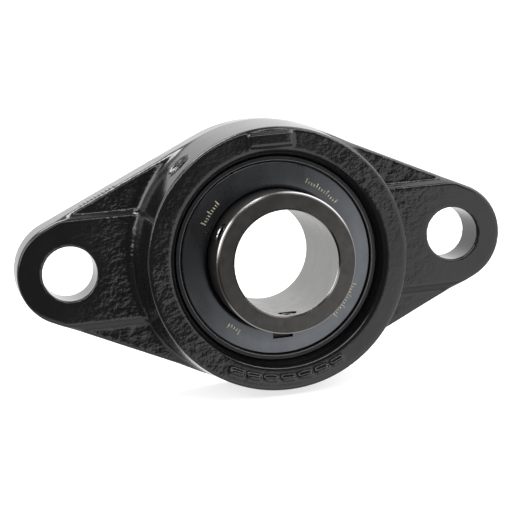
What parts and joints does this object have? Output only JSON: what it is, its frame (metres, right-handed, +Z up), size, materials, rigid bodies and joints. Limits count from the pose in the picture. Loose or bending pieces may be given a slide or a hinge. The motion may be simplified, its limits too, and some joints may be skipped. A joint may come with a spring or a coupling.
{
  "type": "flange mount bearing",
  "caption": "Oval two-bolt flange housing holding a self-aligning ball bearing insert whose extended inner ring is locked on a shaft by set screws.",
  "frame": {"origin": "centre of the mounting face, on the shaft axis, half way between the bolt holes", "axes": "+X along the row of bolt holes, +Y out of the mounting face into the wall, +Z up; the nose of the inner ring points to -Y"},
  "size_m": [0.148, 0.0402, 0.08],
  "materials": {
    "painted_iron": "gloss black paint over rough cast iron",
    "plug_steel": "machined, bright",
    "outer_ring_steel": "ground and darkened",
    "inner_ring_steel": "ground bore, blackened outside",
    "ball_steel": "polished",
    "cage_steel": "pressed, satin",
    "rivet_steel": "satin",
    "washer_steel": "zinc plated",
    "seal_rubber": "matt",
    "flinger_steel": "blackened, satin",
    "screw_steel": "black oxide"
  },
  "bodies": {
    "housing_body": {"housing": "painted_iron", "grease_port_plug": "plug_steel"},
    "outer_ring_body": {"outer_ring": "outer_ring_steel", "seal_outer_washer_front": "washer_steel", "seal_lip_front": "seal_rubber", "seal_inner_washer_front": "washer_steel", "seal_outer_washer_rear": "washer_steel", "seal_lip_rear": "seal_rubber", "seal_inner_washer_rear": "washer_steel"},
    "inner_ring_body": {"inner_ring": "inner_ring_steel", "flinger_front": "flinger_steel", "flinger_rear": "flinger_steel"},
    "cage_body": {"cage_front": "cage_steel", "cage_rear": "cage_steel", "cage_rivets": "rivet_steel"},
    "ball_1_body": {"ball_1": "ball_steel"},
    "ball_2_body": {"ball_2": "ball_steel"},
    "ball_3_body": {"ball_3": "ball_steel"},
    "ball_4_body": {"ball_4": "ball_steel"},
    "ball_5_body": {"ball_5": "ball_steel"},
    "ball_6_body": {"ball_6": "ball_steel"},
    "ball_7_body": {"ball_7": "ball_steel"},
    "ball_8_body": {"ball_8": "ball_steel"},
    "ball_9_body": {"ball_9": "ball_steel"},
    "set_screw_1_body": {"set_screw_1": "screw_steel"},
    "set_screw_2_body": {"set_screw_2": "screw_steel"}
  },
  "joints": [
    {"name": "insert_swivel", "type": "hinge", "parent": "housing_body", "child": "outer_ring_body", "pos_m": [0, -0.018, 0], "axis": [1, 0, 0], "range_deg": [-2.5, 2.5]},
    {"name": "inner_ring_spin", "type": "hinge", "parent": "outer_ring_body", "child": "inner_ring_body", "pos_m": [0, -0.018, 0], "axis": [0, 1, 0], "continuous": true},
    {"name": "cage_turn", "type": "hinge", "parent": "outer_ring_body", "child": "cage_body", "pos_m": [0, -0.018, 0], "axis": [0, 1, 0], "continuous": true},
    {"name": "ball_1_roll", "type": "hinge", "parent": "cage_body", "child": "ball_1_body", "pos_m": [0, -0.018, 0.023], "axis": [0, 1, 0], "continuous": true},
    {"name": "ball_2_roll", "type": "hinge", "parent": "cage_body", "child": "ball_2_body", "pos_m": [-0.01478, -0.018, 0.01762], "axis": [0, 1, 0], "continuous": true},
    {"name": "ball_3_roll", "type": "hinge", "parent": "cage_body", "child": "ball_3_body", "pos_m": [-0.02265, -0.018, 0.00399], "axis": [0, 1, 0], "continuous": true},
    {"name": "ball_4_roll", "type": "hinge", "parent": "cage_body", "child": "ball_4_body", "pos_m": [-0.01992, -0.018, -0.0115], "axis": [0, 1, 0], "continuous": true},
    {"name": "ball_5_roll", "type": "hinge", "parent": "cage_body", "child": "ball_5_body", "pos_m": [-0.00787, -0.018, -0.02161], "axis": [0, 1, 0], "continuous": true},
    {"name": "ball_6_roll", "type": "hinge", "parent": "cage_body", "child": "ball_6_body", "pos_m": [0.00787, -0.018, -0.02161], "axis": [0, 1, 0], "continuous": true},
    {"name": "ball_7_roll", "type": "hinge", "parent": "cage_body", "child": "ball_7_body", "pos_m": [0.01992, -0.018, -0.0115], "axis": [0, 1, 0], "continuous": true},
    {"name": "ball_8_roll", "type": "hinge", "parent": "cage_body", "child": "ball_8_body", "pos_m": [0.02265, -0.018, 0.00399], "axis": [0, 1, 0], "continuous": true},
    {"name": "ball_9_roll", "type": "hinge", "parent": "cage_body", "child": "ball_9_body", "pos_m": [0.01478, -0.018, 0.01762], "axis": [0, 1, 0], "continuous": true},
    {"name": "set_screw_1_travel", "type": "slide", "parent": "inner_ring_body", "child": "set_screw_1_body", "axis": [0, 0, -1], "range_m": [-0.0002, 0.0015]},
    {"name": "set_screw_2_travel", "type": "slide", "parent": "inner_ring_body", "child": "set_screw_2_body", "axis": [-0.866, 0, 0.5], "range_m": [-0.0002, 0.0015]}
  ],
  "couplings": [
    {"joint": "cage_turn", "follows": "inner_ring_spin", "ratio": 0.39647},
    {"joint": "ball_1_roll", "follows": "inner_ring_spin", "ratio": -2.3112},
    {"joint": "ball_2_roll", "follows": "inner_ring_spin", "ratio": -2.3112},
    {"joint": "ball_3_roll", "follows": "inner_ring_spin", "ratio": -2.3112},
    {"joint": "ball_4_roll", "follows": "inner_ring_spin", "ratio": -2.3112},
    {"joint": "ball_5_roll", "follows": "inner_ring_spin", "ratio": -2.3112},
    {"joint": "ball_6_roll", "follows": "inner_ring_spin", "ratio": -2.3112},
    {"joint": "ball_7_roll", "follows": "inner_ring_spin", "ratio": -2.3112},
    {"joint": "ball_8_roll", "follows": "inner_ring_spin", "ratio": -2.3112},
    {"joint": "ball_9_roll", "follows": "inner_ring_spin", "ratio": -2.3112}
  ]
}
